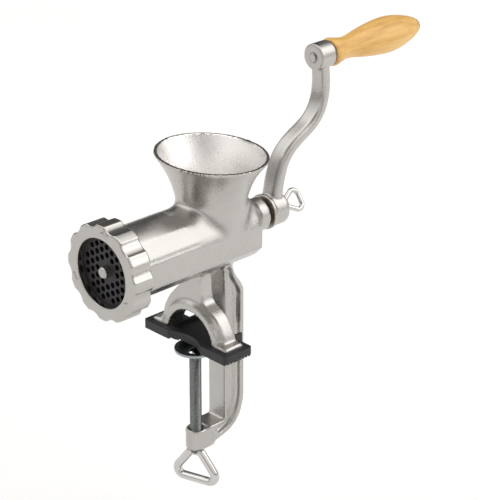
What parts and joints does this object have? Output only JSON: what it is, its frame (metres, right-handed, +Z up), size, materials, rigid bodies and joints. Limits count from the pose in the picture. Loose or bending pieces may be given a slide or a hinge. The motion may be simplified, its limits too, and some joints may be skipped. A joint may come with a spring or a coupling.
{
  "type": "hand crank meat grinder",
  "caption": "Cast table-clamp meat grinder: oval hopper, screw-fed barrel, perforated plate behind a ring nut, S-shaped crank with a turning wooden grip, and a clamp screw.",
  "frame": {"origin": "underside of the table pad, on the axis of the clamp screw", "axes": "+Z up out of the table; the barrel lies along Y with the perforated plate facing -Y and the crank at +Y; +X to the right when looking along +Y"},
  "size_m": [0.0996, 0.3447, 0.3483],
  "materials": {
    "cast_aluminium": "satin as cast, edges polished",
    "pad_plastic": "matt moulded",
    "plate_steel": "ground steel",
    "hard_steel": "ground",
    "screw_steel": "zinc plated",
    "bright_wire": "polished",
    "disc_steel": "zinc plated, dished",
    "bush_brass": "bearing bronze",
    "fibre": "pressed fibre",
    "grip_wood": "turned and varnished",
    "feed_screw_aluminium": "satin as cast"
  },
  "bodies": {
    "casting": {"body_casting": "cast_aluminium", "table_pad": "pad_plastic", "rear_bush": "bush_brass", "plate_key_pin": "hard_steel"},
    "drive": {"auger": "feed_screw_aluminium", "auger_stud": "hard_steel", "knife": "hard_steel", "thrust_washer": "fibre", "crank_arm": "cast_aluminium", "grip_spindle": "hard_steel", "grip_washer": "screw_steel", "grip_end_cap": "bright_wire"},
    "grip_body": {"grip": "grip_wood"},
    "plate_carrier": {"perforated_plate": "plate_steel"},
    "ring": {"ring_nut": "cast_aluminium"},
    "thumb_carrier": {"crank_washer": "screw_steel"},
    "thumb": {"thumb_screw": "screw_steel", "thumb_screw_loop": "bright_wire"},
    "disc": {"pressure_disc": "disc_steel"},
    "screw": {"clamp_screw": "screw_steel", "clamp_loop": "bright_wire", "disc_rivet": "bright_wire"}
  },
  "joints": [
    {"name": "crank_turn", "type": "hinge", "parent": "casting", "child": "drive", "pos_m": [0, 0, 0.0893], "axis": [0, 1, 0], "continuous": true},
    {"name": "grip_spin", "type": "hinge", "parent": "drive", "child": "grip_body", "pos_m": [0, 0.2, 0.2055], "axis": [0, 1, 0], "continuous": true},
    {"name": "ring_travel", "type": "slide", "parent": "casting", "child": "plate_carrier", "axis": [0, -1, 0], "range_m": [0, 0.012]},
    {"name": "ring_turn", "type": "hinge", "parent": "plate_carrier", "child": "ring", "pos_m": [0, -0.085, 0.0893], "axis": [0, -1, 0], "range_deg": [0, 1081]},
    {"name": "thumb_travel", "type": "slide", "parent": "drive", "child": "thumb_carrier", "axis": [0, 1, 0], "range_m": [0, 0.012]},
    {"name": "thumb_turn", "type": "hinge", "parent": "thumb_carrier", "child": "thumb", "pos_m": [0, 0.095, 0.0893], "axis": [0, 1, 0], "range_deg": [0, 3457]},
    {"name": "clamp_travel", "type": "slide", "parent": "casting", "child": "disc", "axis": [0, 0, -1], "range_m": [0, 0.055]},
    {"name": "clamp_turn", "type": "hinge", "parent": "disc", "child": "screw", "pos_m": [0, 0, -0.05], "axis": [0, 0, -1], "range_deg": [0, 13201]}
  ],
  "couplings": [
    {"joint": "ring_turn", "follows": "ring_travel", "rad_per_m": 1570.8},
    {"joint": "thumb_turn", "follows": "thumb_travel", "rad_per_m": 5026.5},
    {"joint": "clamp_turn", "follows": "clamp_travel", "rad_per_m": 4188.8}
  ]
}
